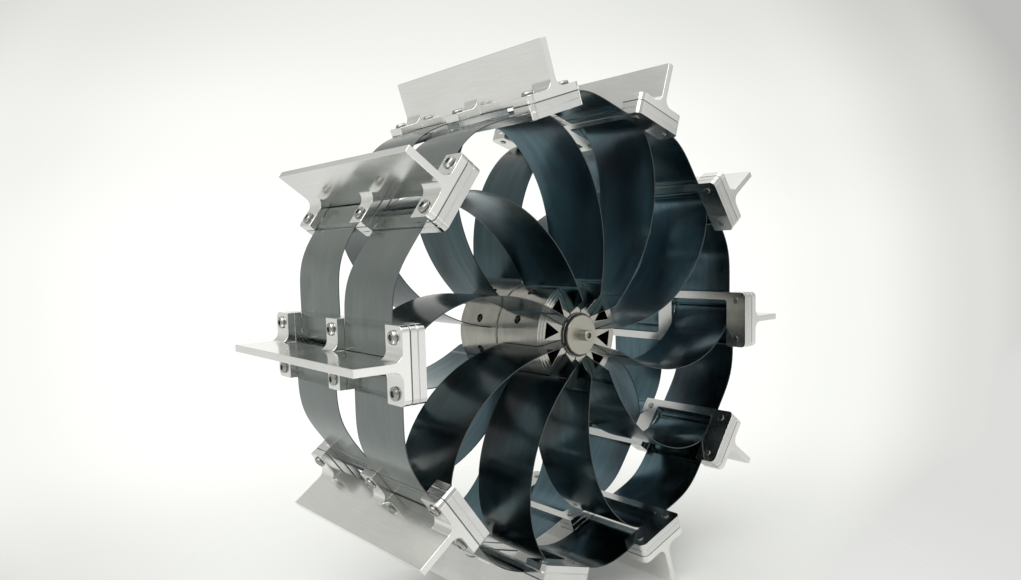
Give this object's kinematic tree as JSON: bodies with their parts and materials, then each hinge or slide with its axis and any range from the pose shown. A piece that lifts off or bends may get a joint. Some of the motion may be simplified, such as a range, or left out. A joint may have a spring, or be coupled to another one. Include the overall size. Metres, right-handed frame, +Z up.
{
  "type": "cleated spring-strip wheel",
  "caption": "Open wheel whose rim and spokes are bent spring-steel strips, clamped under tee-section cleats and slotted into a split hub on an axle stub.",
  "frame": {"origin": "the wheel's centre, on its axis and midway along the cleats", "axes": "+Y is the wheel's axis towards the axle's free end, +Z is up with the wheel standing on a pair of cleats, and +X is radial, through a cleat"},
  "size_m": [0.5, 0.204, 0.4774],
  "materials": {
    "cleat": "milled, bright",
    "clamp": "milled, satin",
    "strip": "blued spring steel, fine lengthwise grain",
    "hub": "turned, satin",
    "retainer": "dark turned",
    "cap": "bead blasted",
    "bolt": "satin",
    "screw": "bright stainless",
    "axle": "ground",
    "sleeve": "turned",
    "bearing": "ground and polished"
  },
  "bodies": {
    "axle": {"axle_shaft": "axle", "bearing_inner_rings": "bearing", "distance_sleeve": "sleeve", "front_spacer": "sleeve", "axle_cap": "cap", "axle_bolt": "bolt"},
    "wheel": {"bearing_balls": "bearing", "bearing_outer_rings": "bearing", "front_retainer": "retainer", "back_retainer": "retainer", "front_hub_half": "hub", "back_hub_half": "hub", "hub_set_screws": "screw", "cleat_01": "cleat", "clamp_plate_01": "clamp", "front_strip_01": "strip", "back_strip_01": "strip", "cleat_02": "cleat", "clamp_plate_02": "clamp", "front_strip_02": "strip", "back_strip_02": "strip", "cleat_03": "cleat", "clamp_plate_03": "clamp", "front_strip_03": "strip", "back_strip_03": "strip", "cleat_04": "cleat", "clamp_plate_04": "clamp", "front_strip_04": "strip", "back_strip_04": "strip", "cleat_05": "cleat", "clamp_plate_05": "clamp", "front_strip_05": "strip", "back_strip_05": "strip", "cleat_06": "cleat", "clamp_plate_06": "clamp", "front_strip_06": "strip", "back_strip_06": "strip", "cleat_07": "cleat", "clamp_plate_07": "clamp", "front_strip_07": "strip", "back_strip_07": "strip", "cleat_08": "cleat", "clamp_plate_08": "clamp", "front_strip_08": "strip", "back_strip_08": "strip", "cleat_09": "cleat", "clamp_plate_09": "clamp", "front_strip_09": "strip", "back_strip_09": "strip", "cleat_10": "cleat", "clamp_plate_10": "clamp", "front_strip_10": "strip", "back_strip_10": "strip", "clamp_spacers": "clamp", "cleat_screws": "screw"}
  },
  "joints": [
    {"name": "wheel_spin", "type": "hinge", "parent": "axle", "child": "wheel", "pos_m": [0, 0, 0], "axis": [0, 1, 0], "continuous": true}
  ]
}
